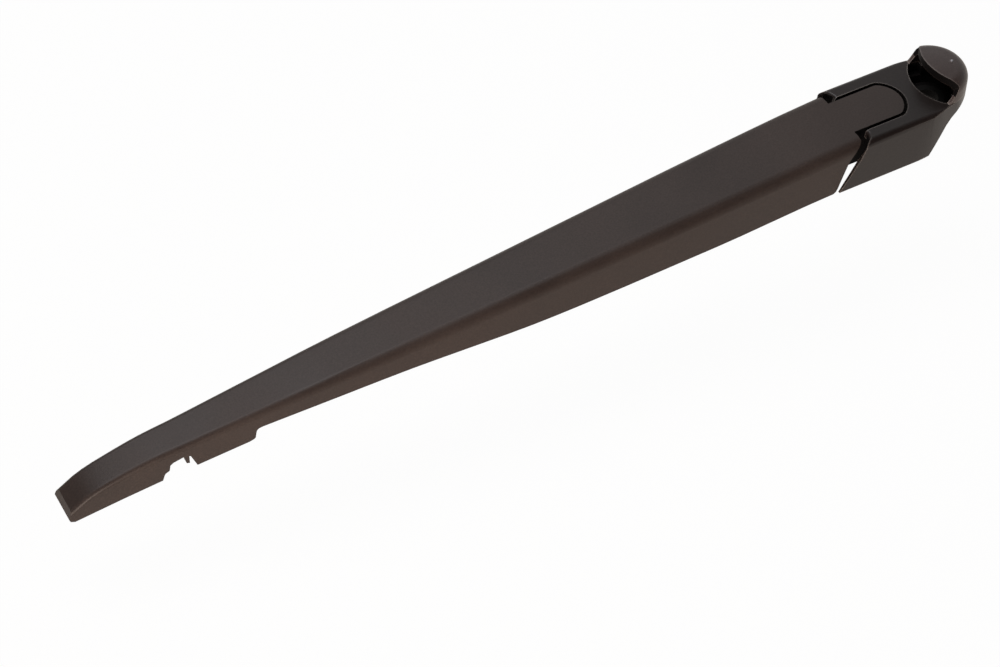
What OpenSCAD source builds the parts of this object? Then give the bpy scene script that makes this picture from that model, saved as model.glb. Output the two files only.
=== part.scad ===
// Rear wiper arm: mounting head, hinged channel arm, tension spring and nut cap.
// The origin is on the wiper spindle's axis, at the face that the spindle nut clamps.
// X points along the arm to its tip, Y to the side shown nearest, Z up.

/* [Head] */
// Width of the head
head_w = 31.4; // [29:0.1:40]
// Depth of the nut's seat below the head's top face
seat_depth = 7; // [5:0.1:9]
// Height of the hub
hub_h = 7; // [6:0.1:12]
// Height of the head from its top face to the lower edge of its cheeks
head_h = 19.7; // [18:0.5:30]
// Radius of the round rear end of the head
rear_r = 13.3; // [12:0.1:14.5]
// Distance from the spindle's axis to where the straight flanks start
flank_x = 8.4; // [4:0.2:12]
// Radius along the two upper edges of the head
head_edge_r = 2.4; // [1:0.2:6]
// Thickness of the head's top plate
plate_t = 3; // [2:0.1:5]
// Thickness of the head's walls
head_wall = 1.7; // [1:0.1:3]
// Radius of the round recess for the spindle nut
recess_r = 9.4; // [8:0.1:10]
// Wall round the recess for the spindle nut
recess_wall = 1; // [0.6:0.1:2]
// Thickness of the web that carries the hub
web_t = 2.5; // [2:0.1:5]
// Outer radius of the hub
hub_r = 8; // [7:0.1:9]
// Distance from the spindle's axis to the front edge of the finger gap
finger_x = 5.6; // [4:0.1:9]
// Radius of the front edge of the finger gap
finger_r = 17.5; // [14:0.5:30]
// Reach of the nut pocket under the front edge of the finger gap
nut_undercut = 2.2; // [1:0.1:2.6]
// Distance from the spindle's axis to the front end of the cheeks at the top
cheek_x = 34; // [30:0.5:40]
// Forward reach of the lower front corner of the cheeks
cheek_sweep = 12.9; // [8:0.1:16]
// Radius along the upper front edge of the cheeks
cheek_edge_r = 1.3; // [0.4:0.1:2]

/* [Spindle seat] */
// Outer diameter of the steel spindle bush
bush_d = 12.6; // [11:0.1:14]
// Diameter of the bush at the upper end of its bore
bore_d = 8.2; // [6:0.1:10]
// Length of the straight bore at the upper end of the bush
bore_l = 3; // [1:0.1:5]
// Diameter of the serrated cone at the lower face of the bush
cone_d = 10.6; // [9:0.1:11]
// Number of serrations on the cone
serrations = 24; // [12:1:48]
// Depth of the serrations
serration_depth = 0.35; // [0.1:0.05:0.6]

/* [Nut cap] */
// Height of the cap's top above the head's top face
cap_h = 9.6; // [5:0.1:14]
// Radius between the side and the top of the cap
cap_edge_r = 5; // [1:0.1:6]
// Rise of the crown in the middle of the cap
cap_crown = 0.7; // [0:0.1:2]
// Wall of the cap
cap_wall = 1.5; // [0.8:0.1:3]
// Distance from the spindle's axis to the lip of the cap
lip_x = 1.8; // [0:0.1:5]
// Radius of the lip of the cap seen from above
lip_r = 17; // [12:0.5:40]
// Depth of the turned-down edge along the lip
lip_depth = 3.2; // [1.6:0.1:4.5]
// Thickness of the turned-down edge along the lip
lip_t = 1.2; // [0.8:0.1:2]
// Radius of the small moulding point on the cap
pip_r = 0.5; // [0.2:0.1:1]
// Depth of the ring that locates the cap in the nut pocket
cap_ring_depth = 3.6; // [2:0.1:6]
// Clearance of the cap's ring in the nut pocket
cap_clear = 0.15; // [0.05:0.05:0.4]

/* [Hinge] */
// Distance from the spindle's axis to the hinge pin
pivot_x = 23; // [21:0.5:30]
// Depth of the hinge pin below the head's top face
pivot_depth = 8; // [7:0.5:12]
// Diameter of the hinge pin
pin_d = 5; // [4:0.1:6]
// Running clearance of the hinge pin in its bushes, on the radius
pin_clear = 0.04; // [0.01:0.01:0.1]
// Wall left in front of the hinge pin's closed end
pin_cover = 1.2; // [0.8:0.1:3]
// Wall of the plastic hinge bushes
hinge_bush_wall = 1; // [0.6:0.1:1.5]

/* [Arm] */
// Length of the arm from its shoulders to its tip
arm_len = 300.3; // [220:1:420]
// Distance from the spindle's axis to the shoulders of the arm
shoulder_x = 38.4; // [36:0.5:45]
// Width of the arm at its shoulders
shoulder_w = 29.9; // [26:0.5:40]
// Width of the arm at its tip
tip_w = 12.4; // [10:0.2:20]
// Drop of the arm's top face from the shoulders to the tip
arm_drop = 34.9; // [10:0.1:60]
// Radius along the arm's upper edges at the shoulders
ridge_r = 4.4; // [2:0.1:6]
// Radius along the arm's upper edges at the tip
ridge_tip_r = 1.7; // [0.4:0.1:2.4]
// Wall of the arm's channel
arm_wall = 2.2; // [1.4:0.1:3.5]
// Height of the arm's walls behind the shoulders
root_h = 20; // [16:0.5:26]
// Width of the tongue that lies in the head
tongue_w = 16.6; // [14:0.2:20]
// Distance from the spindle's axis to the end of the tongue
tongue_x = 13; // [10:0.1:16]
// Radius of the tongue's round end
tongue_end_r = 9.6; // [8.5:0.1:14]
// Thickness of the tongue
tongue_t = 2; // [1.2:0.1:3]
// Gap between the tongue and the head
tongue_gap = 1.3; // [0.3:0.1:1.5]
// Thickness of each hinge lug under the tongue
lug_t = 3.9; // [3:0.1:6]
// Radius of the hinge lugs round the pin
lug_r = 5; // [4.5:0.1:6]

/* [Tip] */
// Distance from the tip to the blade notch
notch_from_tip = 32; // [28:0.5:60]
// Length of the blade notch
notch_l = 12.4; // [10:0.2:20]
// Height of the blade notch
notch_h = 6.8; // [5:0.2:8]
// Length of the deep skirt at the tip
skirt_l = 67.3; // [60:0.1:90]
// Height of the step where the deep skirt starts
skirt_step = 4.7; // [2:0.1:8]
// Fall of the skirt's lower edge from the step to the tip
skirt_fall = 7.3; // [2:0.1:14]
// Diameter of the blade pin
blade_pin_d = 4; // [3:0.1:5]
// Distance from the tip to the blade pin
blade_pin_from_tip = 52; // [48:1:70]

/* [Spring] */
// Wire of the tension spring
wire_d = 1.4; // [1:0.1:2]
// Outer diameter of the tension spring
spring_d = 8; // [7:0.1:11]
// Distance of the link pin behind the hinge pin
link_back = 7; // [5:0.5:9]
// Depth of the link pin below the hinge pin
link_down = 3.5; // [2:0.1:5]
// Diameter of the link pin and the anchor pin
link_pin_d = 3; // [2:0.1:4]
// Distance from the hinge pin to the spring's anchor pin
anchor_reach = 78; // [60:1:120]
// Thickness of the spring link
link_t = 2; // [1.5:0.1:2.2]

/* [Hidden] */
$fn = 64;
eps = 0.01;
big = 100;

body_colour = [0.2, 0.18, 0.18];
arm_colour = [0.29, 0.26, 0.25];
steel = [0.62, 0.62, 0.64];
bush_colour = [0.85, 0.84, 0.8];

pivot_z = -pivot_depth;
link_pin_x = pivot_x - link_back;
link_pin_z = pivot_z - link_down;
anchor_x = pivot_x + anchor_reach;
anchor_z = link_pin_z - 1.5;
slot_w = tongue_w + 2 * tongue_gap;
hub_top = -seat_depth;
hub_bottom = hub_top - hub_h;
pocket_depth = seat_depth + 0.5;
recess_straight = 4.5;
front_wall = 1.5;
// Below its rim the slot is undercut to the rear for the tongue's swing.
rim_t = 1.2;
rib_x = 11.2;
swing_reach = 1.4;
web_low = -pocket_depth - web_t;
finger_cx = finger_x - finger_r;
lip_cx = lip_x - lip_r;
tip_x = shoulder_x + arm_len;

// Smooth curve through rows [position, value]: a cubic between neighbours.
function slope_at(rows, i, c) =
    i == 0 ? (rows[1][c] - rows[0][c]) / (rows[1][0] - rows[0][0])
    : i == len(rows) - 1 ? (rows[i][c] - rows[i - 1][c]) / (rows[i][0] - rows[i - 1][0])
    : (rows[i + 1][c] - rows[i - 1][c]) / (rows[i + 1][0] - rows[i - 1][0]);
function row_of(rows, s, i = 0) =
    i >= len(rows) - 2 || s <= rows[i + 1][0] ? i : row_of(rows, s, i + 1);
function cubic(a, b, ma, mb, h, t) =
    (2 * pow(t, 3) - 3 * pow(t, 2) + 1) * a + (pow(t, 3) - 2 * pow(t, 2) + t) * h * ma
    + (3 * pow(t, 2) - 2 * pow(t, 3)) * b + (pow(t, 3) - pow(t, 2)) * h * mb;
function smooth(rows, s, c) =
    let (i = row_of(rows, s), h = rows[i + 1][0] - rows[i][0], t = (s - rows[i][0]) / h)
    cubic(rows[i][c], rows[i + 1][c], slope_at(rows, i, c), slope_at(rows, i + 1, c), h, t);

// Stations of the arm: share of its length, share of the width left, share of the drop.
arm_rows = [
    [0, 1, 0], [0.06, 0.965, 0.03], [0.18, 0.91, 0.126], [0.34, 0.78, 0.252],
    [0.5, 0.62, 0.373], [0.66, 0.425, 0.503], [0.8, 0.21, 0.63], [0.86, 0.115, 0.686],
    [0.9, 0.07, 0.718], [0.94, 0.03, 0.785], [0.975, 0.01, 0.873], [1, 0, 1]
];
edge_rows = [[0, 1], [0.27, 0.95], [0.5, 0.88], [0.7, 0.48], [0.83, 0.22], [1, 0]];
function share(x) = (x - shoulder_x) / arm_len;
function arm_width(x) = tip_w + (shoulder_w - tip_w) * smooth(arm_rows, share(x), 1);
function arm_top(x) = x > shoulder_x ? -arm_drop * smooth(arm_rows, share(x), 2) : 0;
function arm_edge(x) = ridge_tip_r + (ridge_r - ridge_tip_r) * smooth(edge_rows, share(x), 1);

// Half of a section's outline, from its lower edge up round the corner.
corner_steps = 6;
function corner(half, top, r) = [
    for (k = [0 : corner_steps])
        let (a = 90 * k / corner_steps) [half - r + r * cos(a), top - r + r * sin(a)]
];
function mirrored(pts) = [for (k = [len(pts) - 1 : -1 : 0]) [-pts[k][0], pts[k][1]]];
function hood(half, top, r, low) =
    let (side = concat([[half, low]], corner(half, top, r))) concat(side, mirrored(side));
function unit(v) = v / norm(v);
function reversed(pts) = [for (k = [len(pts) - 1 : -1 : 0]) pts[k]];

deep = -2 * root_h - arm_drop;
function outer_ring(x) = [
    for (p = hood(arm_width(x) / 2, arm_top(x), arm_edge(x), deep)) [x, p[0], p[1]]
];
function inner_ring(x) =
    let (half = arm_width(x) / 2 - arm_wall, r = max(arm_edge(x) - arm_wall, 0.6))
    [for (p = hood(half, arm_top(x) - arm_wall, r, deep - 5)) [x, p[0], p[1]]];

// Solid between equal rings of points that follow each other along X.
module loft(rings) {
    n = len(rings[0]);
    m = len(rings);
    points = [for (ring = rings) each ring];
    sides = [
        for (i = [0 : m - 2], k = [0 : n - 1])
            let (j = (k + 1) % n, a = i * n)
            each [[a + k, a + n + j, a + j], [a + k, a + n + k, a + n + j]]
    ];
    first = [for (k = [0 : n - 1]) k];
    last = [for (k = [n - 1 : -1 : 0]) (m - 1) * n + k];
    polyhedron(points = points, faces = concat([first], sides, [last]), convexity = 10);
}

// Extrudes an outline drawn in X and Z across the width w, centred on Y = 0.
module across(w) {
    translate([0, w / 2, 0])
        rotate([90, 0, 0])
            linear_extrude(height = w)
                children();
}

module cross_pin(x, z, d, y0, y1) {
    translate([x, y1, z])
        rotate([90, 0, 0])
            cylinder(d = d, h = y1 - y0);
}

// Cuts the top plate's front edge: it bends forward to the flanks and is rounded above.
front_rows = [[4.7, 0], [3.5, 0.4], [2.4, 1], [1.4, 1.8], [0.6, 2.6], [-0.2, 3.4], [-2, 5.4]];
function front_ring(back, z) =
    let (
        half = head_w / 2,
        side = [for (row = front_rows) [cheek_x + row[1] - back, half - row[0], z]],
        far = [for (p = reversed(side)) [p[0], -p[1], z]],
        end_y = half + 2
    )
    concat([[big, end_y, z]], reversed(side), reversed(far), [[big, -end_y, z]]);
cheek_bevel = [[-5.8, -9.85], [-3.2, -7.3], [-1.7, -5.1], [-0.3, -3.2]];
module front_cut() {
    r = cheek_edge_r;
    loft(concat(
        [for (row = cheek_bevel) front_ring(row[0], row[1])],
        [for (k = [0 : 5]) front_ring(r - r * cos(18 * k), -r + r * sin(18 * k))],
        [front_ring(r, 1)]
    ));
}

// Plan of the head: round rear end, flanks that widen to the full width.
module head_plan(inset = 0) {
    r = rear_r - inset;
    half = head_w / 2 - inset;
    reach = sqrt(pow(flank_x, 2) + pow(half, 2));
    turn = atan2(half, flank_x) + acos(r / reach);
    front = cheek_x + cheek_sweep + 5;
    blend_l = 6;
    a = [flank_x, half] + blend_l * unit([r * cos(turn) - flank_x, r * sin(turn) - half]);
    c = [flank_x + blend_l, half];
    flank = concat(
        [[r * cos(turn), r * sin(turn)]],
        [for (k = [0 : 8]) let (t = k / 8)
            pow(1 - t, 2) * a + 2 * t * (1 - t) * [flank_x, half] + pow(t, 2) * c],
        [[front, half]]
    );
    circle(r = r, $fn = 96);
    polygon(concat(flank, [for (k = [len(flank) - 1 : -1 : 0]) [flank[k][0], -flank[k][1]]]));
}

// Front edge of the cheeks: share of the sweep, share of the head's height.
cheek_rows = [
    [0.26, 0.15], [0.285, 0.2], [0.325, 0.26], [0.405, 0.37], [0.52, 0.5], [0.68, 0.67],
    [0.85, 0.84], [1, 1]
];
// Side of the head: cheeks that sweep forward, and a rear that is cut away.
module head_side() {
    polygon(concat(
        [[-rear_r - 1, 0], [cheek_x + 0.26 * cheek_sweep, 0]],
        [for (row = cheek_rows) [cheek_x + cheek_sweep * row[0], -head_h * row[1]]],
        [[flank_x - 0.4, -head_h], [1, -9.2], [-1.4, -6.8], [-4.5, -5], [-8, -3],
         [-11, -1.9], [-rear_r - 1, -1.5]]
    ));
}

module head_section() {
    r = head_edge_r;
    half = head_w / 2;
    difference() {
        translate([-half, -head_h])
            square([head_w, head_h]);
        for (side = [-1, 1]) {
            difference() {
                translate([side * (half - r / 2) - r / 2, -r])
                    square([r, r]);
                translate([side * (half - r), -r])
                    circle(r = r);
            }
        }
    }
}

// Everything behind the front edge of the finger gap, or behind its wall.
module behind_edge(grow = 0) {
    translate([finger_cx, 0])
        circle(r = finger_r + grow, $fn = 128);
}

// Opening in front of the cap, for a finger and for the nut.
module finger_area(from_x) {
    intersection() {
        behind_edge();
        head_plan(head_wall);
        translate([from_x, -head_w])
            square([big, 2 * head_w]);
    }
}

module tongue_plan(grow = 0) {
    corner_r = 2.6 + grow;
    half = tongue_w / 2 + grow;
    r = tongue_end_r + grow;
    cx = tongue_x + tongue_end_r;
    offset(r = corner_r, $fn = 48)
        offset(delta = -corner_r)
            intersection() {
                union() {
                    translate([cx, 0])
                        circle(r = r, $fn = 96);
                    translate([cx, -half])
                        square([big, 2 * half]);
                }
                translate([cx - sqrt(pow(r, 2) - pow(half, 2)) - r, -half])
                    square([2 * big, 2 * half]);
            }
}

// Die-cast head with its hub, nut pocket, slot for the tongue and two cheeks.
module mounting_head() {
    color(body_colour)
        translate([0, 0, seat_depth])
            difference() {
                union() {
                    difference() {
                        intersection() {
                            translate([0, 0, -head_h])
                                linear_extrude(height = head_h)
                                    head_plan();
                            across(head_w)
                                head_side();
                            translate([-big, 0, 0])
                                rotate([90, 0, 90])
                                    linear_extrude(height = 2 * big)
                                        head_section();
                        }
                        head_hollow();
                        front_cut();
                    }
                    hub();
                    pin_bosses();
                }
                translate([0, 0, hub_bottom - 1])
                    cylinder(d = bush_d, h = hub_top - hub_bottom + 2);
                hinge_bores();
            }
}

// Hub, the cup-shaped recess round the nut, and the cross rib in front of the hub.
module hub() {
    outer_r = recess_r + recess_wall;
    low_r = min(outer_r, finger_x + front_wall + nut_undercut + 0.15);
    translate([0, 0, hub_bottom])
        cylinder(r = hub_r, h = hub_h);
    difference() {
        intersection() {
            union() {
                translate([0, 0, -recess_straight])
                    cylinder(r = outer_r, h = recess_straight, $fn = 96);
                translate([0, 0, web_low])
                    cylinder(r1 = low_r, r2 = outer_r, h = -recess_straight - web_low, $fn = 96);
            }
            translate([0, 0, web_low])
                linear_extrude(height = -web_low)
                    behind_edge(front_wall + nut_undercut);
        }
        nut_room();
    }
    translate([hub_r - 0.8, -head_w / 2 + head_wall / 2, hub_bottom + 0.4])
        cube([rib_x - hub_r + 0.8, head_w - head_wall, 1.6]);
}

module recess() {
    translate([0, 0, -recess_straight])
        cylinder(r = recess_r, h = recess_straight + 1, $fn = 96);
    translate([0, 0, -pocket_depth])
        cylinder(r1 = recess_r - 1, r2 = recess_r, h = pocket_depth - recess_straight, $fn = 96);
}

// Room for the nut: a round recess that reaches under the top plate, and the finger gap.
module nut_room() {
    intersection() {
        recess();
        translate([0, 0, -pocket_depth])
            union() {
                linear_extrude(height = pocket_depth + 2)
                    behind_edge();
                linear_extrude(height = pocket_depth - plate_t - 0.3)
                    behind_edge(nut_undercut);
            }
    }
    translate([0, 0, -pocket_depth])
        linear_extrude(height = pocket_depth + 1)
            finger_area(0.8);
    translate([0, 0, -recess_straight])
        linear_extrude(height = recess_straight + 1)
            finger_area(-3);
}

// The pocket is open above; the cheeks are thin walls, open below.
module head_hollow() {
    half = head_w / 2 - head_wall;
    nut_room();
    translate([0, 0, -head_h - 1])
        linear_extrude(height = head_h + 1 + web_low)
            head_plan(head_wall);
    translate([finger_x + front_wall, -half, -head_h - 1])
        cube([big, 2 * half, head_h + 1 - plate_t]);
    translate([0, 0, -head_h - 1])
        linear_extrude(height = head_h + 2)
            tongue_plan(tongue_gap);
    translate([-swing_reach, 0, -plate_t - 1])
        linear_extrude(height = plate_t + 1 - rim_t)
            tongue_plan(tongue_gap);
    translate([0, 0, -head_h - 1])
        linear_extrude(height = head_h - 4)
            polygon([
                [cheek_x, half], [cheek_x + cheek_sweep, half + 0.9],
                [cheek_x + cheek_sweep, -half - 0.9], [cheek_x, -half]
            ]);
}

// Bosses inside the cheeks that carry the hinge pin and the link pin.
module pin_bosses() {
    inner = tongue_w / 2 + 0.3;
    outer = head_w / 2 - head_wall / 2;
    for (y0 = [inner, -outer]) {
        cross_pin(pivot_x, pivot_z, pin_d + 4, y0, y0 + outer - inner);
        cross_pin(link_pin_x, link_pin_z, link_pin_d + 3, y0, y0 + outer - inner);
    }
}

module hinge_bores() {
    cross_pin(pivot_x, pivot_z, pin_d, -head_w / 2 - 1, head_w / 2 - pin_cover);
    cross_pin(link_pin_x, link_pin_z, link_pin_d, -link_pin_half, link_pin_half);
}
link_pin_half = slot_w / 2 + 2;

// Steel bush pressed into the hub: straight bore above, serrated cone below.
module spindle_bush() {
    cone_h = hub_h - bore_l;
    color(steel)
        difference() {
            translate([0, 0, -hub_h])
                cylinder(d = bush_d, h = hub_h);
            translate([0, 0, -big])
                cylinder(d = bore_d, h = 2 * big);
            translate([0, 0, -hub_h - eps])
                cylinder(d1 = cone_d, d2 = bore_d, h = cone_h);
            for (k = [0 : serrations - 1])
                rotate([0, 0, 360 * k / serrations])
                    translate([cone_d / 2 - serration_depth, 0, -hub_h - 1])
                        rotate([0, 0, 45])
                            cube([serration_depth * 1.4, serration_depth * 1.4, cone_h / 2 + 1]);
        }
}

// Outline of half the cap, in radius and height, set in by a wall thickness.
function cap_curve(inset) =
    let (r = rear_r - inset, top = cap_h - cap_crown - inset, e = cap_edge_r - inset)
    concat(
        [for (k = [0 : 8]) [r - e + e * cos(90 * k / 8), top - e + e * sin(90 * k / 8)]],
        [for (k = [1 : 6]) let (q = (r - e) * (1 - k / 6))
            [q, top + cap_crown * (1 - pow(q / (r - e), 2))]]
    );

module cap_body(inset, low) {
    rotate_extrude($fn = 96)
        polygon(concat([[0, low], [rear_r - inset, low]], cap_curve(inset)));
}

// Domed cap over the spindle nut, open at the front below its lip.
module nut_cap() {
    pip_x = -6.9;
    pip_y = 2.2;
    color(body_colour)
        translate([0, 0, seat_depth]) {
            intersection() {
                union() {
                    difference() {
                        cap_body(0, 0);
                        cap_body(cap_wall, -1);
                    }
                    cap_lip();
                    cap_ring();
                }
                cap_keep();
            }
            translate([pip_x, pip_y, cap_h - 0.3])
                sphere(r = pip_r, $fn = 24);
        }
}

// Turned-down edge that stiffens the cap along its lip.
module cap_lip() {
    difference() {
        cap_body(0, 0);
        translate([0, 0, cap_wall - lip_depth])
            cap_body(cap_wall, -1);
        translate([lip_cx, 0, -1])
            cylinder(r = lip_r - lip_t, h = big, $fn = 128);
    }
}

// The lip is an arc seen from above; the cap's feet reach a little further forward.
module cap_keep() {
    foot_x = 0.6;
    translate([0, 0, -big / 2])
        linear_extrude(height = big)
            translate([lip_cx, 0])
                circle(r = lip_r, $fn = 128);
    across(2 * head_w)
        polygon([
            [-big, -big], [-4, -big], [-4, 0], [foot_x, 0], [foot_x - 1.1, 1.2],
            [foot_x - 2.2, 2.8], [foot_x - 3.2, 4.8], [foot_x - 4.4, 6.5], [-big, 6.5]
        ]);
}

// Inner ring that snaps into the nut recess.
module cap_ring() {
    ring_r = recess_r - cap_clear;
    ring_wall = 1.2;
    intersection() {
        translate([0, 0, -cap_ring_depth])
            difference() {
                cylinder(r = ring_r, h = cap_ring_depth + cap_h - cap_crown - cap_wall / 2, $fn = 96);
                translate([0, 0, -1])
                    cylinder(r = ring_r - ring_wall, h = big, $fn = 96);
            }
        translate([-big - 6, -big, -big])
            cube([big, 2 * big, 2 * big]);
    }
}

module hinge_pin() {
    color(steel)
        translate([0, 0, seat_depth])
            cross_pin(pivot_x, pivot_z, pin_d, -head_w / 2 + 0.5, head_w / 2 - pin_cover);
}

module hinge_bush(side) {
    y0 = tongue_w / 2 - lug_t;
    y1 = tongue_w / 2;
    color(bush_colour)
        translate([0, 0, seat_depth])
            difference() {
                cross_pin(pivot_x, pivot_z, pin_d + 2 * hinge_bush_wall,
                    side > 0 ? y0 : -y1, side > 0 ? y1 : -y0);
                cross_pin(pivot_x, pivot_z, pin_d + 2 * pin_clear, -head_w, head_w);
            }
}

module hinge_bush_near() {
    hinge_bush(1);
}

module hinge_bush_far() {
    hinge_bush(-1);
}

// Side of the arm below its top face: round nose, long belly, deep skirt with the notch.
nose_gap = -0.5;
belly_drop = 20;
belly_rows = [
    [0, -0.02], [0.06, 0.03], [0.1, 0.08], [0.18, 0.175], [0.26, 0.25], [0.34, 0.32],
    [0.4, 0.362], [0.45, 0.375], [0.52, 0.35], [0.6, 0.33], [0.74, 0.385], [1, 0.5]
];
function belly_z(x) = -root_h - belly_drop * smooth(belly_rows, share(x), 1);
skirt_x = tip_x - skirt_l;
function skirt_z(x) =
    belly_z(skirt_x) - skirt_step - skirt_fall * (x - skirt_x) / skirt_l;

module arm_side() {
    nose_x = shoulder_x + nose_gap;
    slant_x = 9.7;
    belly_x = nose_x + slant_x + 3;
    polygon(concat(
        [[nose_x, 2], [nose_x, -0.6], [nose_x + 0.9, -1.4], [nose_x + 2.3, -2.6],
         [nose_x + 4.3, -4.8], [nose_x + 5.9, -7.6], [nose_x + 7.7, -13.1],
         [nose_x + slant_x - 0.5, -root_h + 2], [nose_x + slant_x + 0.2, -root_h + 0.5],
         [nose_x + slant_x + 1.2, -root_h - 0.2]],
        [for (k = [1 : 24]) let (x = belly_x + k * (skirt_x - belly_x - 1) / 24) [x, belly_z(x)]],
        skirt_start(),
        notch(),
        [[tip_x - 0.6, skirt_z(tip_x)], [tip_x + 0.9, skirt_z(tip_x) + 0.8],
         [tip_x + 1.3, skirt_z(tip_x) + 2.2], [tip_x, arm_top(tip_x)], [tip_x, 2]]
    ));
}

// S-shaped step down into the deep skirt.
function skirt_start() =
    let (z = belly_z(skirt_x))
    [[skirt_x + 0.4, z - 0.2], [skirt_x + 1.2, z - 0.9], [skirt_x + 1.5, z - 2],
     [skirt_x + 1.9, z - skirt_step + 0.5], [skirt_x + 2.6, z - skirt_step],
     [skirt_x + 4.2, skirt_z(skirt_x + 4.2)]];

// Notch for the blade, with the small stop tab that hangs into it.
function notch() =
    let (
        end = tip_x - notch_from_tip, start = end - notch_l,
        top = skirt_z(end) + notch_h
    )
    [[start, skirt_z(start)], [start + 1.9, top + 0.1], [start + 2.4, top + 0.4],
     [start + 2.5, top - 3], [start + 3.6, top - 2.6], [start + 4.2, top + 0.9],
     [end - 4.4, top], [end - 3.2, top - 0.8], [end - 2.7, top - 3.2],
     [end - 1.2, top - 3.9], [end - 0.8, top - 4.6], [end, skirt_z(end)]];

arm_steps = 48;
end_wall = 3;
function station(from_x, to_x, k) = to_x - (to_x - from_x) * pow(1 - k / arm_steps, 1.35);

module arm_outside() {
    loft(concat(
        [outer_ring(shoulder_x + nose_gap)],
        [for (k = [0 : arm_steps]) outer_ring(station(shoulder_x, tip_x + 1.5, k))]
    ));
}

module arm_inside() {
    from_x = shoulder_x - 3;
    to_x = tip_x - end_wall;
    loft([for (k = [0 : arm_steps]) inner_ring(station(from_x, to_x, k))]);
}

// Moulded arm: a channel open below, with the tongue and its two hinge lugs.
module arm_channel() {
    color(arm_colour)
        translate([0, 0, seat_depth])
            difference() {
                union() {
                    difference() {
                        intersection() {
                            arm_outside();
                            across(2 * head_w)
                                arm_side();
                        }
                        arm_inside();
                    }
                    tongue();
                }
                cross_pin(pivot_x, pivot_z, pin_d + 2 * hinge_bush_wall, -tongue_w, tongue_w);
                cross_pin(anchor_x, anchor_z, link_pin_d, -anchor_half, anchor_half);
            }
}

module tongue() {
    root_l = 6;
    lug_front = shoulder_x + root_l;
    lug_low = pivot_z - lug_r - 3;
    translate([0, 0, -tongue_t])
        linear_extrude(height = tongue_t)
            intersection() {
                tongue_plan();
                translate([0, -big])
                    square([shoulder_x - 0.2, 2 * big]);
            }
    for (side = [-1, 1])
        translate([0, side * (tongue_w - lug_t) / 2, 0])
            across(lug_t) {
                translate([pivot_x, pivot_z])
                    circle(r = lug_r);
                polygon([
                    [pivot_x - lug_r, pivot_z], [pivot_x - 4, -tongue_t / 2],
                    [lug_front, -tongue_t / 2], [lug_front, lug_low],
                    [pivot_x + 8, lug_low], [pivot_x, pivot_z - lug_r]
                ]);
            }
}

anchor_half = arm_width(anchor_x) / 2 - arm_wall / 2;

module link_pin() {
    color(steel)
        translate([0, 0, seat_depth])
            cross_pin(link_pin_x, link_pin_z, link_pin_d, -link_pin_half, link_pin_half);
}

// Flat steel link that passes under the hinge pin to the spring's end.
link_eye = [link_back + 10, -0.4];
module spring_link() {
    half = 1.6;
    path = [[0, 0], [0.2, -4.2], [3, -6.6], [9, -6.6], [13.6, -3.6], link_eye];
    color(steel)
        translate([link_pin_x, 0, seat_depth + link_pin_z])
            difference() {
                across(link_t) {
                    circle(r = 2.7);
                    translate(link_eye)
                        circle(r = 2.6);
                    for (k = [0 : len(path) - 2])
                        strip(path[k], path[k + 1], half);
                }
                cross_pin(0, 0, link_pin_d + 0.1, -link_t, link_t);
                cross_pin(link_eye[0], link_eye[1], wire_d + 0.8, -link_t, link_t);
            }
}

module strip(a, b, half) {
    l = norm(b - a);
    translate(a)
        rotate(atan2(b[1] - a[1], b[0] - a[0]))
            translate([0, -half])
                square([l, 2 * half]);
    translate(b)
        circle(r = half, $fn = 32);
}

// Tension spring from the link to the anchor pin, with an open hook at each end.
module tension_spring() {
    start = [link_pin_x + link_eye[0], link_pin_z + link_eye[1]];
    span = anchor_x - start[0];
    drop = anchor_z - start[1];
    turn = atan2(drop, span);
    hook = spring_d / 2;
    coil_l = span - 2 * hook - 4;
    pitch = wire_d * 1.25;
    turns = floor(coil_l / pitch);
    ring_r = (spring_d - wire_d) / 2;
    color(steel)
        translate([start[0], 0, seat_depth + start[1]])
            rotate([0, -turn, 0]) {
                translate([hook + 2, 0, 0])
                    rotate([0, 90, 0])
                        rotate_extrude()
                            spring_wave(ring_r, pitch, turns);
                translate([hook - wire_d, 0, 0])
                    rotate([90, 0, 0])
                        spring_hook(hook);
                translate([span, 0, 0])
                    mirror([1, 0, 0])
                        spring_hook(hook);
            }
}

module spring_wave(ring_r, pitch, turns) {
    low = ring_r - wire_d / 2;
    high = ring_r + wire_d / 2;
    polygon(concat(
        [[low, 0]],
        [for (k = [0 : turns - 1]) each [
            [high - wire_d * 0.3, k * pitch], [high, (k + 0.3) * pitch],
            [high, (k + 0.7) * pitch]]],
        [[high - wire_d * 0.3, turns * pitch], [low, turns * pitch]]
    ));
}

// Wire hook: an eye round the pin, and a straight wire that enters the coil.
module spring_hook(hook) {
    eye_r = hook - wire_d;
    rotate([90, 0, 0])
        difference() {
            rotate_extrude()
                translate([eye_r, 0])
                    circle(d = wire_d, $fn = 24);
            translate([eye_r * 0.6, -big / 2, -big / 2])
                cube([big, big / 2 - 0.2, big]);
        }
    translate([0, 0, eye_r])
        rotate([0, 90, 0])
            cylinder(d = wire_d, h = hook + 3.5, $fn = 24);
}

module anchor_pin() {
    color(steel)
        translate([0, 0, seat_depth])
            cross_pin(anchor_x, anchor_z, link_pin_d, -anchor_half, anchor_half);
}

module blade_pin() {
    x = tip_x - blade_pin_from_tip;
    half = arm_width(x) / 2 - arm_wall - 0.12;
    color(steel)
        translate([0, 0, seat_depth])
            cross_pin(x, skirt_z(x) + 4, blade_pin_d, -half, half);
}

mounting_head();
spindle_bush();
nut_cap();
hinge_pin();
hinge_bush_near();
hinge_bush_far();
arm_channel();
link_pin();
spring_link();
tension_spring();
anchor_pin();
blade_pin();
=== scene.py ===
import math

import bpy
from mathutils import Matrix, Vector


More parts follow.
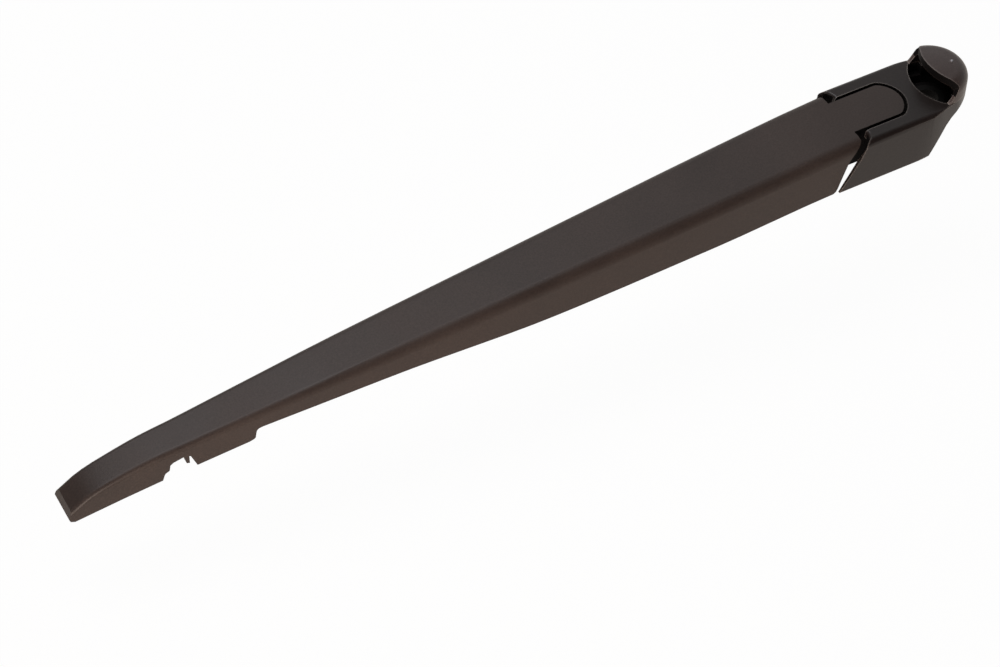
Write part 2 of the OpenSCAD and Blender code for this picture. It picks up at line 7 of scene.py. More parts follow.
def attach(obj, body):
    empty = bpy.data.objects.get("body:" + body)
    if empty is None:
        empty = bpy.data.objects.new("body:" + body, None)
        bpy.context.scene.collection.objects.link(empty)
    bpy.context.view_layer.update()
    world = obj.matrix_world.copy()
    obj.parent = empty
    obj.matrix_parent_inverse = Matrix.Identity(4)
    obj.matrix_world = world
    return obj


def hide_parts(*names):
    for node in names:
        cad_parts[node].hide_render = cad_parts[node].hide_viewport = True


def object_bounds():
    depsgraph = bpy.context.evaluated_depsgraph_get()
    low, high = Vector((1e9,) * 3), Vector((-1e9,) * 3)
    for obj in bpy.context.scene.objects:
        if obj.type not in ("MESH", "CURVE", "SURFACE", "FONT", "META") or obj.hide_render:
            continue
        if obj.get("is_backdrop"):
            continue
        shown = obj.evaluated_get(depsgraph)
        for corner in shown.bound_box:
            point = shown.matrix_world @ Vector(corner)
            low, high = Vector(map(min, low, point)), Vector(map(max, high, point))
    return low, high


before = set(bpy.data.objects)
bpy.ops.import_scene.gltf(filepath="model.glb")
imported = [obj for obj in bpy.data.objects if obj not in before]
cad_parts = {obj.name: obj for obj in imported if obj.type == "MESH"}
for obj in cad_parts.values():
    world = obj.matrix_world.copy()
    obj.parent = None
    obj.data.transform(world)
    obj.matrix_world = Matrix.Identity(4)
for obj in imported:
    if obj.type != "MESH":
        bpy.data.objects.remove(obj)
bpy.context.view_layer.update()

bl_info = {
    "name": "Rear wiper arm",
    "version": (1, 0, 0),
    "blender": (4, 5, 0),
    "location": "View3D > Sidebar > Wiper arm",
    "description": "Dresses the solids of a rear wiper arm with shells, a spring and finishes",
    "category": "Object",
}

MM = 0.001

# Places that the solids fix, in millimetres in the shared frame.
LINK_EYE = (33.0, 0.0, -4.9)
ANCHOR = (101.0, 0.0, -6.0)
GATE_MARK = (-6.9, 2.2, 16.3)
GATE_R = 0.8
# The head: its plate, the round pocket under the cap, the room between the cheeks, the slot that
# the tongue lies in, and the heights between which faces that look straight down are ceilings.
# Faces inside these bounds are painted as shade.
PLATE_UNDERSIDE = 6.2
POCKET_R = 12.5
POCKET_FLOOR = -0.8
POCKET_FRONT = 7.0
HOLLOW_HALF = 14.9
SLOT_HALF = 10.3
SLOT_START = 2.0
CEILING = (-3.0, 6.0)
# The room that the arm's lugs and tongue take, whose walls are painted as shade.
LUGS_HALF = 9.0
LUGS_FRONT = 43.0
# The front end of the cap's hollow, whose inner faces are painted as shade.
CAP_FRONT = 1.2
# A face whose normal rises less than this is a wall.
WALL = 0.3

# The straight wire between a hook and the first turn of the spring, in metres.
LEAD = 2 * MM
STEPS_A_TURN = 20
# How far the near hook reaches past the eye's centre at rest. The coil keeps its length while the
# eye draws away from the anchor, so the hook is 0.60 mm short of the centre at 30 degrees of lift
# and 0.18 mm short at full lift, and its wire cuts into the eye's rim there.
HOOK_PAST = 0.37 * MM


def linear(code):
    """Linear red, green and blue of an sRGB hex colour such as #4a403c."""
    parts = [int(code[i:i + 2], 16) / 255 for i in (1, 3, 5)]
    return tuple(c / 12.92 if c <= 0.04045 else ((c + 0.055) / 1.055) ** 2.4 for c in parts)


# Selecting, copying and finishing meshes

def pick(*pieces):
    """Selects only these pieces and makes the first one active."""
    bpy.ops.object.select_all(action="DESELECT")
    for piece in pieces:
        piece.select_set(True)
    bpy.context.view_layer.objects.active = pieces[0]


def new_piece(name):
    """The piece that an operator has just added, under its own name."""
    piece = bpy.context.active_object
    piece.name = name
    piece.data.name = name
    return piece


def place(piece):
    """Puts the piece's place and turn into its mesh."""
    pick(piece)
    bpy.ops.object.transform_apply(location=True, rotation=True, scale=True)
    return piece


def use_modifier(piece, kind, **settings):
    """Adds one modifier, sets it and applies it."""
    pick(piece)
    modifier = piece.modifiers.new(kind.title(), kind)
    for key, value in settings.items():
        setattr(modifier, key, value)
    bpy.ops.object.modifier_apply(modifier=modifier.name)


def smooth(piece, degrees=32):
    """Smooth shading with every edge sharper than this angle left crisp."""
    pick(piece)
    bpy.ops.object.shade_smooth_by_angle(angle=math.radians(degrees))


def shell_from(node, name, flat_degrees=0.6):
    """A copy of a solid's mesh, joined up, its flat faces made whole, ready for rounding."""
    pick(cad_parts[node])
    bpy.ops.object.duplicate()
    piece = new_piece(name)
    piece.parent = None
    piece.matrix_world = Matrix.Identity(4)
    pick(piece)
    if piece.data.has_custom_normals:
        bpy.ops.mesh.customdata_custom_splitnormals_clear()
    bpy.ops.object.mode_set(mode="EDIT")
    bpy.ops.mesh.select_all(action="SELECT")
    bpy.ops.mesh.remove_doubles(threshold=2e-6)
    bpy.ops.mesh.dissolve_limited(angle_limit=math.radians(flat_degrees))
    bpy.ops.mesh.select_all(action="DESELECT")
    bpy.ops.object.mode_set(mode="OBJECT")
    return piece


def round_edges(piece, width, degrees=40, segments=3):
    """Rounds every edge sharper than the angle, as a mould or a coat of powder leaves it."""
    use_modifier(
        piece, "BEVEL", width=width, segments=segments, limit_method="ANGLE",
        angle_limit=math.radians(degrees), use_clamp_overlap=True, miter_outer="MITER_ARC",
    )
    smooth(piece)
    use_modifier(piece, "WEIGHTED_NORMAL", keep_sharp=True, weight=60)


def wear(piece, material, slot, body, *replaced):
    """Gives a piece its finish, its body and the solids that it stands for."""
    piece.data.materials.clear()
    piece.data.materials.append(material)
    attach(piece, body)
    if replaced:
        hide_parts(*replaced)


# Finishes

def rgba(value):
    """Four channels from a colour of three, or from a grey."""
    return (*value, 1) if isinstance(value, tuple) else (value, value, value, 1)


def add(tree, kind, settings=None, stops=(), out=0, **inputs):
    """Adds a shader node with its own settings, its ramp's stops and its inputs; gives an output.

    An input is a number, a colour or another node's output, by its name or as i0, i1 and so on.
    """
    made = tree.nodes.new(kind)
    for key, value in (settings or {}).items():
        setattr(made, key, value)
    for k, (where, value) in enumerate(stops):
        made.color_ramp.elements[k].position = where
        made.color_ramp.elements[k].color = rgba(value)
    for key, value in inputs.items():
        which = int(key[1:]) if key[1:].isdigit() else key.replace("_", " ")
        socket = made.inputs[which]
        if isinstance(value, bpy.types.NodeSocket):
            tree.links.new(value, socket)
        else:
            socket.default_value = rgba(value) if socket.type == "RGBA" else value
    return made.outputs[out] if made.outputs else made


# Millimetres from one light patch of a coat to the next, and between dull spots on steel.
DRIFT = 38
SPOTS = 2.5
# A mould's grain and a powder's orange peel are 0.1 to 0.3 mm wide and the lines on drawn steel
# are finer. A pixel of the picture is about 0.3 mm, so all are drawn 0.4 to 0.9 mm wide, to show.

MULTIPLY = {"data_type": "RGBA", "blend_type": "MULTIPLY"}
BLEND = {"data_type": "RGBA", "blend_type": "MIX"}


def start(name):
    """An empty material with its output, its shader and Object coordinates."""
    material = bpy.data.materials.new(name)
    material.use_nodes = True
    tree = material.node_tree
    tree.nodes.clear()
    surface = add(tree, "ShaderNodeBsdfPrincipled")
    add(tree, "ShaderNodeOutputMaterial", Surface=surface)
    return material, tree, surface.node, add(tree, "ShaderNodeTexCoord", out="Object")


def edge_mask(tree, radius):
    """Near 1 on an outer edge, 0 on a flat face: how far the rounded normal leans away."""
    lean = add(
        tree, "ShaderNodeVectorMath", {"operation": "DOT_PRODUCT"}, out="Value",
        i0=add(tree, "ShaderNodeBevel", {"samples": 4}, Radius=radius * MM),
        i1=add(tree, "ShaderNodeNewGeometry", out="Normal"))
    return add(tree, "ShaderNodeValToRGB", stops=[(0.80, 1.0), (0.985, 0.0)], Fac=lean)


def coated(name, colour, edge_tint, grain, bump, rough, specular, drift=0.16, edge=0.5):
    """A dark coat or moulding: grain, slow drift of tone, tinted edges and uneven sheen.

    The grain's size, the bump's height and the edge's width are in millimetres. The edge tint is
    painted on the rounded edges: painted shade where it is darker, rubbed wear and a painted
    highlight where it is lighter.
    """
    material, tree, shader, where = start(name)
    fine = add(
        tree, "ShaderNodeTexNoise",
        Vector=where, Scale=1 / (grain * MM), Detail=4.0, Roughness=0.55)
    slow = add(
        tree, "ShaderNodeTexNoise",
        Vector=where, Scale=1 / (DRIFT * MM), Detail=3.0, Roughness=0.5)
    darker = tuple(c * (1 - drift) for c in colour)
    lighter = tuple(c * (1 + drift) for c in colour)
    tone = add(tree, "ShaderNodeValToRGB", stops=[(0.3, darker), (0.7, lighter)], Fac=slow)
    speck = add(tree, "ShaderNodeValToRGB", stops=[(0.35, 0.88), (0.65, 1.12)], Fac=fine)
    body = add(tree, "ShaderNodeMix", MULTIPLY, out=2, i0=1.0, i6=tone, i7=speck)
    patchy = add(tree, "ShaderNodeValToRGB", stops=[(0.35, 0.35), (0.65, 0.9)], Fac=slow)
    # The rounded edges get the edge tint: painted shade where it is darker, wear and a painted
    # highlight where it is lighter.
    amount = add(
        tree, "ShaderNodeMix", MULTIPLY, out=2, i0=1.0, i6=edge_mask(tree, edge), i7=patchy)
    seen_colour = add(tree, "ShaderNodeMix", BLEND, out=2, i0=amount, i6=body, i7=edge_tint)
    sheen = add(
        tree, "ShaderNodeValToRGB", stops=[(0.3, rough - 0.05), (0.7, rough + 0.05)], Fac=slow)
    relief = add(tree, "ShaderNodeBump", Strength=1.0, Distance=bump * MM, Height=fine)
    tree.links.new(seen_colour, shader.inputs["Base Color"])
    tree.links.new(sheen, shader.inputs["Roughness"])
    tree.links.new(relief, shader.inputs["Normal"])
    shader.inputs["Specular IOR Level"].default_value = specular
    return material


def drawn_steel(name, colour, scratch, rough, stretch):
    """Drawn or turned steel: fine lines along one way, duller spots and an uneven sheen.

    The lines' width is in millimetres.
    """
    material, tree, shader, where = start(name)
    lines = add(tree, "ShaderNodeMapping", Vector=where, Scale=stretch)
    marks = add(tree, "ShaderNodeTexNoise", Vector=lines, Scale=1 / (scratch * MM), Detail=3.0)
    spots = add(tree, "ShaderNodeTexNoise", Vector=where, Scale=1 / (SPOTS * MM), Detail=4.0)
    dull = tuple(c * 0.72 for c in colour)
    tone = add(tree, "ShaderNodeValToRGB", stops=[(0.35, dull), (0.6, colour)], Fac=spots)
    sheen = add(
        tree, "ShaderNodeValToRGB", stops=[(0.3, rough - 0.1), (0.7, rough + 0.1)], Fac=marks)
    relief = add(tree, "ShaderNodeBump", Strength=0.5, Distance=0.02 * MM, Height=marks)
    tree.links.new(tone, shader.inputs["Base Color"])
    tree.links.new(sheen, shader.inputs["Roughness"])
    tree.links.new(relief, shader.inputs["Normal"])
    shader.inputs["Metallic"].default_value = 1.0
    return material


def line_inside(piece, material, is_inside):
    """Gives the faces that pass the test, by their centre and normal, one more finish: here painted
    shade, and a painted glint.
    """
    piece.data.materials.append(material)
    for face in piece.data.polygons:
        if is_inside(face.center / MM, face.normal):
            face.material_index = len(piece.data.materials) - 1


class WiperArmLooks(bpy.types.PropertyGroup):
    """Sizes and colours of the wiper arm's visible parts."""

    arm_colour: bpy.props.FloatVectorProperty(
        name="Arm colour", description="Colour of the moulded arm", subtype="COLOR",
        size=3, min=0, max=1, default=linear("#382f2b"))
    head_colour: bpy.props.FloatVectorProperty(
        name="Head colour", description="Colour of the powder-coated head", subtype="COLOR",
        size=3, min=0, max=1, default=linear("#231d1b"))
    cap_colour: bpy.props.FloatVectorProperty(
        name="Cap colour", description="Colour of the moulded nut cap", subtype="COLOR",
        size=3, min=0, max=1, default=linear("#433835"))
    # The head's and cap's rounded edges are painted this lighter colour: partly rubbed wear, partly
    # a painted highlight on the rims.
    edge_wear_highlight_colour: bpy.props.FloatVectorProperty(
        name="Rubbed edge colour", description="Colour of edges that are rubbed lighter",
        subtype="COLOR", size=3, min=0, max=1, default=linear("#8c847e"))
    # The arm's rounded edges are painted this darker colour, as painted shade along the ridge.
    ridge_shade_colour: bpy.props.FloatVectorProperty(
        name="Arm ridge colour", description="Colour of the arm's edges, polished dark by hands",
        subtype="COLOR", size=3, min=0, max=1, default=linear("#211a18"))
    # Nearly black: painted shade in the head's pocket, slot and hollow, on the arm between the
    # cheeks and behind the cap's lip.
    inside_shade_colour: bpy.props.FloatVectorProperty(
        name="Inside colour", description="Colour of the uncoated insides of the head and cap",
        subtype="COLOR", size=3, min=0, max=1, default=linear("#0d0b0b"))
    steel_colour: bpy.props.FloatVectorProperty(
        name="Steel colour", description="Colour of the zinc-plated steel", subtype="COLOR",
        size=3, min=0, max=1, default=linear("#a9abad"))
    spring_colour: bpy.props.FloatVectorProperty(
        name="Spring colour", description="Colour of the oiled spring wire", subtype="COLOR",
        size=3, min=0, max=1, default=linear("#77787a"))
    bush_colour: bpy.props.FloatVectorProperty(
        name="Bush colour", description="Colour of the plain-bearing plastic", subtype="COLOR",
        size=3, min=0, max=1, default=linear("#d5d1c6"))
    arm_edge: bpy.props.FloatProperty(
        name="Arm edge radius", description="Rounding of the arm's free edges",
        unit="LENGTH", subtype="DISTANCE", default=0.35 * MM, min=0.05 * MM, max=0.8 * MM)
    head_edge: bpy.props.FloatProperty(
        name="Head edge radius", description="Rounding of the head's edges",
        unit="LENGTH", subtype="DISTANCE", default=0.4 * MM, min=0.05 * MM, max=0.8 * MM)
    cap_edge: bpy.props.FloatProperty(
        name="Cap edge radius", description="Rounding of the cap's lip",
        unit="LENGTH", subtype="DISTANCE", default=0.55 * MM, min=0.05 * MM, max=0.7 * MM)
    wire: bpy.props.FloatProperty(
        name="Spring wire", description="Diameter of the spring's wire",
        unit="LENGTH", subtype="DISTANCE", default=1.4 * MM, min=0.8 * MM, max=1.8 * MM)
    coil: bpy.props.FloatProperty(
        name="Spring diameter", description="Outer diameter of the spring",
        unit="LENGTH", subtype="DISTANCE", default=8 * MM, min=6 * MM, max=8.4 * MM)
    pitch: bpy.props.FloatProperty(
        name="Spring pitch", description="Distance from turn to turn",
        unit="LENGTH", subtype="DISTANCE", default=1.75 * MM, min=1.5 * MM, max=4 * MM)


class WIPERARM_OT_arm(bpy.types.Operator):
    """Makes the long moulded arm with rounded edges"""

    bl_idname = "wiperarm.arm"
    bl_label = "Moulded arm"

    def execute(self, context):
        looks = context.scene.wiper_arm_looks
        piece = shell_from("arm_channel", "arm_shell", 0.35)
        round_edges(piece, looks.arm_edge, 42)
        # Glass-filled nylon from a spark-eroded mould: a warm satin black with a fine grain. Its
        # rounded edges are painted darker: painted shade along the ridge.
        finish = coated(
            "glass_filled_nylon_black", tuple(looks.arm_colour), tuple(looks.ridge_shade_colour),
            grain=0.7, bump=0.035, rough=0.46, specular=0.24)
        wear(piece, finish, "arm", "arm", "arm_channel")
        # Between the cheeks the same moulding is painted nearly black as shade, and dull.
        shade_between_cheeks = coated(
            "nylon_painted_shade", tuple(looks.inside_shade_colour), tuple(looks.arm_colour),
            grain=0.7, bump=0.035, rough=0.7, specular=0.06)
        line_inside(piece, shade_between_cheeks, self.in_head)
        return {"FINISHED"}

    def in_head(self, at, normal):
        """True for the lugs and for the tongue's sides, but not for its top: the faces painted as
        shade.
        """
        return at.x < LUGS_FRONT and abs(at.y) < LUGS_HALF and normal.z < WALL


class WIPERARM_OT_head(bpy.types.Operator):
    """Makes the die-cast head with rounded edges"""

    bl_idname = "wiperarm.head"
    bl_label = "Mounting head"

    def execute(self, context):
        looks = context.scene.wiper_arm_looks
        piece = shell_from("mounting_head", "head_shell", 0.5)
        round_edges(piece, looks.head_edge, 40)
        # Zinc die casting, dusted with black polyester powder and baked: a tighter sheen than the
        # arm's, and a soft orange peel.
        # Its edges are painted lighter: partly rubbed wear, partly a painted highlight on the rims.
        finish = coated(
            "powder_coated_zinc_black", tuple(looks.head_colour), tuple(looks.edge_wear_highlight_colour),
            grain=0.9, bump=0.03, rough=0.34, specular=0.25, edge=0.9)
        wear(piece, finish, "head", "head", "mounting_head")
        # Inside the head the casting is painted nearly black as shade, and dull.
        pocket_painted_shade = coated(
            "casting_painted_shade", tuple(looks.inside_shade_colour), tuple(looks.head_colour),
            grain=0.5, bump=0.04, rough=0.7, specular=0.06)
        line_inside(piece, pocket_painted_shade, self.in_pocket)
        return {"FINISHED"}

    def in_pocket(self, at, normal):
        """True for the nut pocket, for the slot's walls, for the inner sides of the cheeks and for
        ceilings: the faces painted as shade.
        """
        side = Vector((at.x, at.y, 0))
        under = at.z < PLATE_UNDERSIDE
        inside = at.z > POCKET_FLOOR and at.x < POCKET_FRONT and side.length < POCKET_R
        pocket = under and inside and normal.dot(side) < 1
        hollow = under and abs(at.y) < HOLLOW_HALF and normal.y * at.y < -1
        faces_slot = abs(normal.z) < WALL and (normal.x > 0.1 or normal.y * at.y < -0.5)
        slot = at.x > SLOT_START and abs(at.y) < SLOT_HALF and faces_slot
        ceiling = normal.z < -0.9 and CEILING[0] < at.z < CEILING[1]
        return pocket or hollow or slot or ceiling


class WIPERARM_OT_cap(bpy.types.Operator):
    """Makes the domed nut cap with a rounded lip"""

    bl_idname = "wiperarm.cap"
    bl_label = "Nut cap"

    def execute(self, context):
        looks = context.scene.wiper_arm_looks
        piece = shell_from("nut_cap", "cap_shell", 0.5)
        round_edges(piece, looks.cap_edge, 45)
        # ABS from a finely blasted mould: smoother than the arm's grain, so its sheen is clearer.
        # Its lip is painted lighter along the edge: partly rubbed wear, partly a painted highlight.
        finish = coated(
            "moulded_abs_black", tuple(looks.cap_colour), tuple(looks.edge_wear_highlight_colour),
            grain=0.6, bump=0.02, rough=0.4, specular=0.33, edge=1.3)
        wear(piece, finish, "cap", "cap", "nut_cap")
        # Behind the lip and on the lip's front face the same ABS is painted nearly black as shade,
        # and dull.
        dull = coated(
            "moulded_abs_painted_shade", tuple(looks.inside_shade_colour), tuple(looks.cap_colour),
            grain=0.5, bump=0.02, rough=0.65, specular=0.06)
        line_inside(piece, dull, self.under_dome)
        # Where the gate was cut off, the same ABS is painted light grey as a glint: a painted
        # highlight on a glossy face.
        painted_glint = coated(
            "moulded_abs_painted_glint", linear("#8f9096"), linear("#a0a0a6"),
            grain=0.6, bump=0.005, rough=0.15, specular=0.8, drift=0.05)
        line_inside(piece, painted_glint, self.on_gate)
        return {"FINISHED"}

    def on_gate(self, at, normal):
        """True for the small mark on the crown, on the side that looks at the tip: the faces
        painted as a glint.
        """
        return (at - Vector(GATE_MARK)).length < GATE_R and normal.z < 0.97

    def under_dome(self, at, normal):
        """True for the lip's front face and for the faces that look down or in towards the spindle:
        the faces painted as shade.
        """
        side = Vector((at.x, at.y, 0))
        front = normal.x > 0.25 and normal.z < WALL
        inwards = normal.dot(side) < -1 and at.x < CAP_FRONT
        return front or normal.z < -0.2 or inwards


class WIPERARM_OT_spring(bpy.types.Operator):
    """Winds the tension spring, with a hook at each end"""

    bl_idname = "wiperarm.spring"
    bl_label = "Tension spring"

    def execute(self, context):
        looks = context.scene.wiper_arm_looks
        wire_r = looks.wire / 2
        ring_r = looks.coil / 2 - wire_r
        hook_r = looks.coil / 2 - looks.wire
        first = Vector(LINK_EYE) * MM - Vector((HOOK_PAST, 0, 0))
        last = Vector(ANCHOR) * MM
        span = (last - first).length
        coil_start = looks.coil / 2 + LEAD
        turns = int((span - 2 * coil_start) / looks.pitch)
        coil_end = coil_start + turns * looks.pitch
        parts = [self.coil(wire_r, ring_r, turns, looks.pitch, coil_start)]
        parts += self.hook(
            "near", wire_r, hook_r, hook_r, coil_start + wire_r, way=1, flat=True)
        parts += self.hook(
            "far", wire_r, hook_r, span, coil_end - wire_r, way=-1, flat=False)
        pick(*parts)
        bpy.ops.object.join()
        piece = new_piece("spring_coil")
        smooth(piece, 50)
        drop = math.atan2(first.z - last.z, last.x - first.x)
        piece.rotation_euler = (0, drop, 0)
        piece.location = first
        place(piece)
        # Hard-drawn spring wire, oiled: dark grey with a narrow shine.
        finish = drawn_steel(
            "oiled_spring_wire", tuple(looks.spring_colour),
            scratch=0.5, rough=0.42, stretch=(0.2, 1.0, 1.0))
        wear(piece, finish, "spring", "spring", "tension_spring")
        return {"FINISHED"}

    def coil(self, wire_r, ring_r, turns, pitch, from_x):
        """The body of the spring, swept once round for each turn."""
        bpy.ops.mesh.primitive_circle_add(vertices=10, radius=wire_r)
        piece = new_piece("coil")
        piece.location = (from_x, ring_r, 0)
        place(piece)
        use_modifier(
            piece, "SCREW", axis="X", angle=math.tau * turns, screw_offset=pitch * turns,
            steps=STEPS_A_TURN * turns, render_steps=STEPS_A_TURN * turns, use_smooth_shade=True,
        )
        pick(piece)
        bpy.ops.object.mode_set(mode="EDIT")
        bpy.ops.mesh.select_all(action="SELECT")
        bpy.ops.mesh.remove_doubles(threshold=1e-7)
        bpy.ops.mesh.fill_holes(sides=0)
        bpy.ops.mesh.select_all(action="SELECT")
        bpy.ops.mesh.normals_make_consistent(inside=False)
        bpy.ops.object.mode_set(mode="OBJECT")
        return piece

    def hook(self, label, wire_r, hook_r, centre_x, coil_x, way, flat):
        """An open ring round a pin or through an eye, and the wire that leads back to the coil."""
        turn = (0, 0, 0) if flat else (math.pi / 2, 0, 0)
        bpy.ops.mesh.primitive_torus_add(
            major_radius=hook_r, minor_radius=wire_r, major_segments=48, minor_segments=12,
            rotation=turn, location=(centre_x, 0, 0))
        ring = place(new_piece("ring_" + label))
        bpy.ops.object.mode_set(mode="EDIT")
        bpy.ops.mesh.select_all(action="SELECT")
        cut = (centre_x + way * hook_r * 0.5, 0, 0)
        # The ring stays open on the side away from its straight lead.
        lean = 1.6
        tilt = (way, lean, 0) if flat else (way, 0, -lean)
        bpy.ops.mesh.bisect(
            plane_co=cut, plane_no=tilt, use_fill=True, clear_outer=True, clear_inner=False)
        bpy.ops.object.mode_set(mode="OBJECT")
        side = -hook_r if flat else hook_r
        lead_l = abs(coil_x - centre_x)
        bpy.ops.mesh.primitive_cylinder_add(
            vertices=12, radius=wire_r, depth=lead_l, rotation=(0, math.pi / 2, 0),
            location=((centre_x + coil_x) / 2, side if flat else 0, 0 if flat else side))
        lead = place(new_piece("lead_" + label))
        return [ring, lead]


class WIPERARM_OT_small_parts(bpy.types.Operator):
    """Finishes the pins, bushes and the link, which keep their solids"""

    bl_idname = "wiperarm.small_parts"
    bl_label = "Pins, bushes and link"

    def execute(self, context):
        looks = context.scene.wiper_arm_looks
        steel = tuple(looks.steel_colour)
        # Turned steel pins, zinc plated: a cool bright grey with fine lines that run round them, so
        # the pattern is pressed flat across.
        turned = drawn_steel(
            "zinc_plated_turned_steel", steel, scratch=0.4, rough=0.36, stretch=(1.0, 3.0, 1.0))
        # Stamped steel strip, zinc plated: the same grey, a little duller, with lines along it.
        rolled = drawn_steel(
            "zinc_plated_steel_strip", steel, scratch=0.4, rough=0.42, stretch=(0.15, 1.0, 1.0))
        # Sintered steel, black phosphated: hardly any shine. Its near-black is partly its own
        # finish and partly painted shade, so the nut pocket looks dark.
        phosphate = coated(
            "black_phosphated_steel_and_shade", linear("#171615"), linear("#2a2827"),
            grain=0.5, bump=0.02, rough=0.65, specular=0.06)
        # Unfilled acetal, moulded smooth: a slightly waxy off-white.
        bearing = coated(
            "natural_acetal", tuple(looks.bush_colour), linear("#e6e2d8"),
            grain=0.8, bump=0.01, rough=0.4, specular=0.5, drift=0.05)
        finishes = {
            "hinge_pin": turned, "link_pin": turned, "anchor_pin": turned, "blade_pin": turned,
            "spindle_bush": phosphate, "spring_link": rolled,
            "hinge_bush_near": bearing, "hinge_bush_far": bearing,
        }
        for node, finish in finishes.items():
            for place_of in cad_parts[node].material_slots:
                place_of.material = finish
        return {"FINISHED"}


# The photograph's camera: its axes, its place in metres and its lens in millimetres.
CAMERA_RIGHT = (-0.876, 0.482, 0.0)
CAMERA_BACK = (0.3230, 0.5874, 0.7421)
CAMERA_AT = (0.4692, 0.5330, 0.6399)
CAMERA_LENS = 93.6

# The floor: its size and its distance below the part in metres, and how white it shows by itself.
FLOOR_SIZE = 6.0
FLOOR_GAP = 30 * MM
FLOOR_WHITE = 0.97

# The room: how bright reflections see it and how much of that gives light. It is dark high over the
# head's near side, and again low beyond the tip's far side: each way has its ramp into the dark.
ROOM_SHOWN = 0.76
ROOM_LIGHT = 0.3
DARK_WAYS = (
    ((-0.32, 0.58, 0.75), [(0.4, 1.0), (0.9, 0.0)]),
    ((0.70, -0.58, 0.42), [(0.5, 1.0), (0.95, 0.0)]),
)

# Lamps: name, place in metres, size in metres, watts, tint. They aim at the middle of the arm.
LAMPS = (
    ("overhead_box", (0.35, -0.35, 1.0), 0.7, 8.5, "#fbfbff"),
    ("near_box", (0.52, 0.47, 0.02), 0.24, 2.8, "#ffeadc"),
)
ARM_MIDDLE = (0.15, 0, 0)


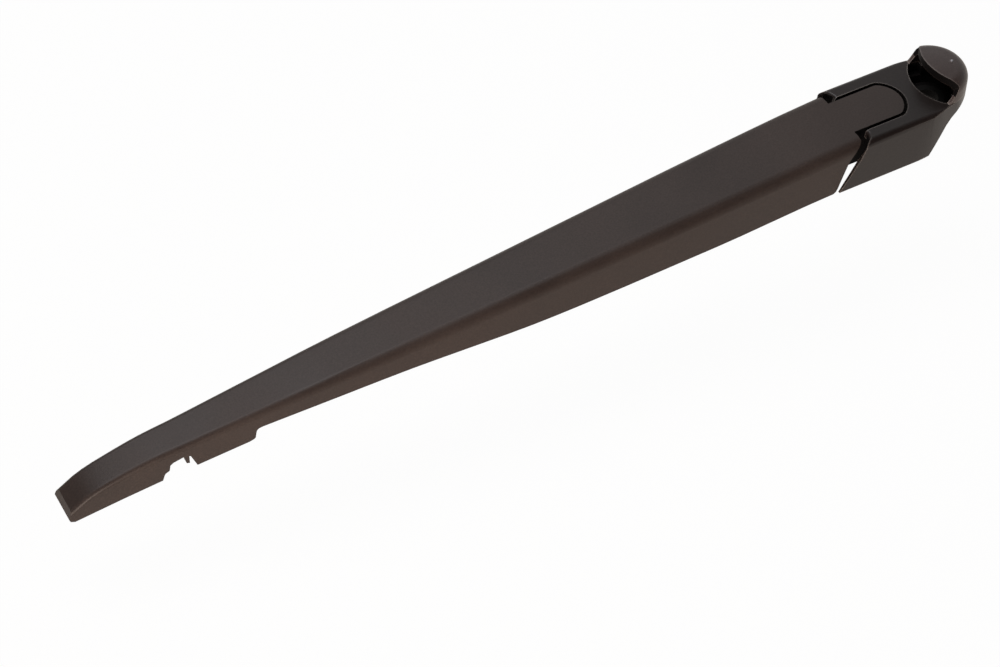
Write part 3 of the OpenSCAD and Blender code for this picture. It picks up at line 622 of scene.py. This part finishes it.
class WIPERARM_OT_stage(bpy.types.Operator):
    """Sets the floor, the lights, the background and the camera"""

    bl_idname = "wiperarm.stage"
    bl_label = "Stage"

    def execute(self, context):
        self.floor()
        self.world(context.scene)
        self.lamps()
        self.camera(context.scene)
        view = context.scene.view_settings
        view.view_transform = "Standard"
        return {"FINISHED"}

    def floor(self):
        """A plain pale floor below the part: white to the camera, warm paper in reflections."""
        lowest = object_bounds()[0][2]
        bpy.ops.mesh.primitive_plane_add(
            size=FLOOR_SIZE, location=(ARM_MIDDLE[0], 0, lowest - FLOOR_GAP))
        piece = place(new_piece("floor"))
        # Uncoated matt paper, evenly lit: no shine, white where seen, faintly warm in reflections.
        material, tree, shader, _ = start("matt_white_paper")
        shader.inputs["Base Color"].default_value = (*linear("#f4ede6"), 1)
        shader.inputs["Roughness"].default_value = 0.9
        tint = add(
            tree, "ShaderNodeMix", BLEND, out=2,
            i0=add(tree, "ShaderNodeLightPath", out="Is Camera Ray"), i6=linear("#fff5ec"), i7=1.0)
        light = add(tree, "ShaderNodeEmission", Color=tint, Strength=1.0)
        both = add(
            tree, "ShaderNodeMixShader",
            Fac=seen(tree, FLOOR_WHITE), i1=shader.outputs["BSDF"], i2=light)
        tree.links.new(both, tree.nodes["Material Output"].inputs["Surface"])
        piece.data.materials.append(material)
        piece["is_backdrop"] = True

    def world(self, scene):
        """A room that is white to the camera, dim as a light and dark along two ways."""
        world = bpy.data.worlds.new("studio")
        scene.world = world
        world.use_nodes = True
        tree = world.node_tree
        tree.nodes.clear()
        room = ROOM_SHOWN
        for way, stops in DARK_WAYS:
            toward = add(
                tree, "ShaderNodeVectorMath", {"operation": "DOT_PRODUCT"}, out="Value",
                i0=add(tree, "ShaderNodeTexCoord"), i1=Vector(way))
            shade = add(tree, "ShaderNodeValToRGB", stops=stops, Fac=toward)
            room = add(tree, "ShaderNodeMix", MULTIPLY, out=2, i0=1.0, i6=room, i7=shade)
        white = add(
            tree, "ShaderNodeMix", BLEND, out=2,
            i0=add(tree, "ShaderNodeLightPath", out="Is Camera Ray"), i6=room, i7=1.0)
        both = add(
            tree, "ShaderNodeMixShader", Fac=seen(tree, 1.0),
            i1=add(tree, "ShaderNodeBackground", Color=room, Strength=ROOM_LIGHT),
            i2=add(tree, "ShaderNodeBackground", Color=white, Strength=1.0))
        add(tree, "ShaderNodeOutputWorld", Surface=both)

    def lamps(self):
        """Two soft boxes: a cool one high over the tip, a warm one low beyond its near side."""
        for name, at, size, watts, tint in LAMPS:
            bpy.ops.object.light_add(type="AREA", location=at)
            lamp = bpy.context.active_object
            lamp.name = name
            lamp.data.energy = watts
            lamp.data.size = size
            lamp.data.color = linear(tint)
            aim = Vector(ARM_MIDDLE) - Vector(at)
            lamp.rotation_euler = aim.to_track_quat("-Z", "Y").to_euler()

    def camera(self, scene):
        """The photograph's camera: a long lens, above the near side and beyond the tip."""
        right = Vector(CAMERA_RIGHT).normalized()
        back = Vector(CAMERA_BACK).normalized()
        up = back.cross(right)
        turn = Matrix((right, up, back)).transposed().to_4x4()
        bpy.ops.object.camera_add()
        eye = bpy.context.active_object
        eye.name = "camera"
        eye.matrix_world = Matrix.Translation(CAMERA_AT) @ turn
        eye.data.lens = CAMERA_LENS
        eye.data.sensor_width = 36.0
        eye.data.sensor_fit = "HORIZONTAL"
        eye.data.clip_start = 0.01
        eye.data.clip_end = 50.0
        scene.camera = eye


def seen(tree, share):
    """The share for rays from the camera, a reflection or a clear body, and 0 for light."""
    path = add(tree, "ShaderNodeLightPath").node
    highest = {"operation": "MAXIMUM"}
    first = add(
        tree, "ShaderNodeMath", highest,
        i0=path.outputs["Is Camera Ray"], i1=path.outputs["Is Glossy Ray"])
    all_three = add(
        tree, "ShaderNodeMath", highest, i0=first, i1=path.outputs["Is Transmission Ray"])
    return add(tree, "ShaderNodeMath", {"operation": "MULTIPLY"}, i0=all_three, i1=share)


class WIPERARM_PT_panel(bpy.types.Panel):
    """Lists the steps and the looks in the sidebar"""

    bl_label = "Wiper arm"
    bl_idname = "WIPERARM_PT_panel"
    bl_space_type = "VIEW_3D"
    bl_region_type = "UI"
    bl_category = "Wiper arm"

    def draw(self, context):
        for step in STEPS:
            self.layout.operator(step.bl_idname)
        for key in WiperArmLooks.__annotations__:
            self.layout.prop(context.scene.wiper_arm_looks, key)


STEPS = (
    WIPERARM_OT_arm, WIPERARM_OT_head, WIPERARM_OT_cap, WIPERARM_OT_spring,
    WIPERARM_OT_small_parts, WIPERARM_OT_stage,
)
CLASSES = (WiperArmLooks, *STEPS, WIPERARM_PT_panel)


def register():
    """Makes the steps, the looks and the panel known to Blender."""
    for kind in CLASSES:
        bpy.utils.register_class(kind)
    bpy.types.Scene.wiper_arm_looks = bpy.props.PointerProperty(type=WiperArmLooks)


def unregister():
    """Takes them away again."""
    del bpy.types.Scene.wiper_arm_looks
    for kind in reversed(CLASSES):
        bpy.utils.unregister_class(kind)


def main():
    """Runs every step in order."""
    register()
    bpy.ops.wiperarm.arm()
    bpy.ops.wiperarm.head()
    bpy.ops.wiperarm.cap()
    bpy.ops.wiperarm.spring()
    bpy.ops.wiperarm.small_parts()
    bpy.ops.wiperarm.stage()


if __name__ == "__main__":
    main()
